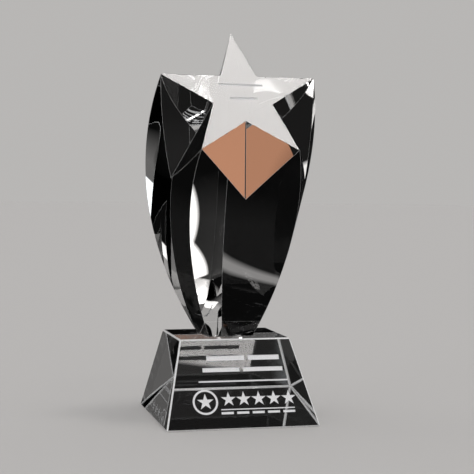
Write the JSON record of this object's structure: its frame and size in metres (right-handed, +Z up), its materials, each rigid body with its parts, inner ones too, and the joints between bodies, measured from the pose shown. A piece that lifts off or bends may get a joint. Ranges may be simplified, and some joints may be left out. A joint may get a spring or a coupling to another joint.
{
  "type": "star trophy",
  "caption": "Clear crystal award: a five-sided flared column cut to a slanted star on top, bonded to a sloped crystal block with an engraved front face.",
  "frame": {"origin": "middle of the base block's underside, on the surface the trophy stands on", "axes": "+Z up, -Y to the front, where the engraved face of the base is and towards which the star leans, +X to the right seen from the front"},
  "size_m": [0.1126, 0.1093, 0.2528],
  "materials": {
    "column_crystal": "polished clear optical crystal",
    "base_crystal": "polished clear optical crystal with frosted engraving",
    "bond_adhesive": "clear cured adhesive"
  },
  "bodies": {
    "root": {"star_column": "column_crystal", "base_block": "base_crystal", "bond_film": "bond_adhesive"}
  },
  "joints": []
}
